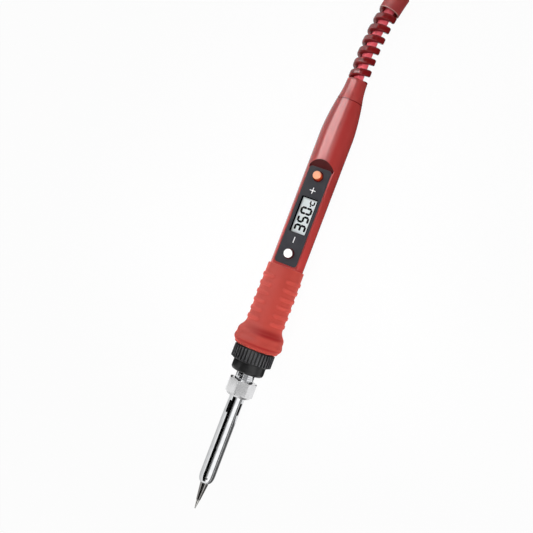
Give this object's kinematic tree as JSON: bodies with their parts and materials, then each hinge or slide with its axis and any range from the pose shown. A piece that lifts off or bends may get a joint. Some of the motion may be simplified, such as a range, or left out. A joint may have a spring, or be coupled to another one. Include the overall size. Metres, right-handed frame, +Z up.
{
  "type": "soldering iron",
  "caption": "Pencil soldering iron with a conical tip in a slotted steel barrel, a ribbed grip, a handle with a temperature display and two push buttons, and a tied mains lead with its plug.",
  "frame": {"origin": "on the bench, under the middle of the iron without its lead", "axes": "+X along the iron from the tip towards the cable, +Z up, the way the control panel faces"},
  "size_m": [0.5409, 0.046, 0.0252],
  "materials": {
    "plated_tip": "plated copper with a bright tinned point",
    "chromed_steel": "bright chromium plate",
    "alumina": "unglazed fired ceramic",
    "black_nylon": "moulded, satin",
    "red_abs": "moulded, polished",
    "red_silicone": "moulded, matt",
    "red_pvc": "moulded, satin",
    "grey_panel": "fine satin",
    "display_glass": "reflective display behind clear glass",
    "orange_button": "moulded, satin",
    "white_button": "moulded, satin",
    "black_epoxy": "moulded, matt",
    "circuit_board": "solder mask",
    "film_case": "moulded, matt",
    "capacitor_sleeve": "shrunk sleeve",
    "glass_sleeving": "woven glass sleeving",
    "brown_pvc": "extruded",
    "blue_pvc": "extruded",
    "nickelled_brass": "nickel plate"
  },
  "bodies": {
    "handle": {"heater_element": "alumina", "heater_base": "alumina", "cord_clamp": "black_nylon", "hank_tie": "black_nylon", "handle_shell": "red_abs", "grip_sleeve": "red_silicone", "strain_relief": "red_pvc", "cord_lead": "red_pvc", "cord_hank": "red_pvc", "cord_tail": "red_pvc", "plug_body": "red_pvc", "control_panel": "grey_panel", "lcd_glass": "display_glass", "plus_switch": "black_epoxy", "minus_switch": "black_epoxy", "controller_chip": "black_epoxy", "power_triac": "black_epoxy", "contact_strip_left": "black_epoxy", "contact_strip_right": "black_epoxy", "main_board": "circuit_board", "film_capacitor": "film_case", "smoothing_capacitor": "capacitor_sleeve", "heater_lead_1": "glass_sleeving", "heater_lead_2": "glass_sleeving", "sensor_lead_1": "glass_sleeving", "sensor_lead_2": "glass_sleeving", "live_lead": "brown_pvc", "neutral_lead": "blue_pvc", "plug_pin_1": "nickelled_brass", "plug_pin_2": "nickelled_brass"},
    "neck": {"threaded_neck": "chromed_steel"},
    "collar": {"collar_nut": "black_nylon"},
    "barrel": {"barrel_sleeve": "chromed_steel", "solder_tip": "plated_tip"},
    "nut": {"barrel_nut": "chromed_steel"},
    "plus": {"plus_button": "orange_button", "plus_plunger": "black_epoxy"},
    "minus": {"minus_button": "white_button", "minus_plunger": "black_epoxy"}
  },
  "joints": [
    {"name": "neck_slide", "type": "slide", "parent": "handle", "child": "neck", "axis": [-0.9993, 0, 0.0365], "range_m": [0, 0.005]},
    {"name": "collar_turn", "type": "hinge", "parent": "neck", "child": "collar", "pos_m": [-0.05996, 0, 0.01295], "axis": [-0.9993, 0, 0.0365], "range_deg": [0, 1205]},
    {"name": "barrel_slide", "type": "slide", "parent": "neck", "child": "barrel", "axis": [-0.9993, 0, 0.0365], "range_m": [0, 0.005]},
    {"name": "nut_turn", "type": "hinge", "parent": "barrel", "child": "nut", "pos_m": [-0.07445, 0, 0.01348], "axis": [-0.9993, 0, 0.0365], "range_deg": [0, 1805]},
    {"name": "plus_press", "type": "slide", "parent": "handle", "child": "plus", "axis": [-0.0365, 0, -0.9993], "range_m": [0, 0.0004], "stiffness_N_per_m": 1500, "springref_m": -0.0003},
    {"name": "minus_press", "type": "slide", "parent": "handle", "child": "minus", "axis": [-0.0365, 0, -0.9993], "range_m": [0, 0.0004], "stiffness_N_per_m": 1500, "springref_m": -0.0003}
  ],
  "couplings": [
    {"joint": "collar_turn", "follows": "neck_slide", "rad_per_m": 4188.8},
    {"joint": "nut_turn", "follows": "barrel_slide", "rad_per_m": 6283.2}
  ]
}
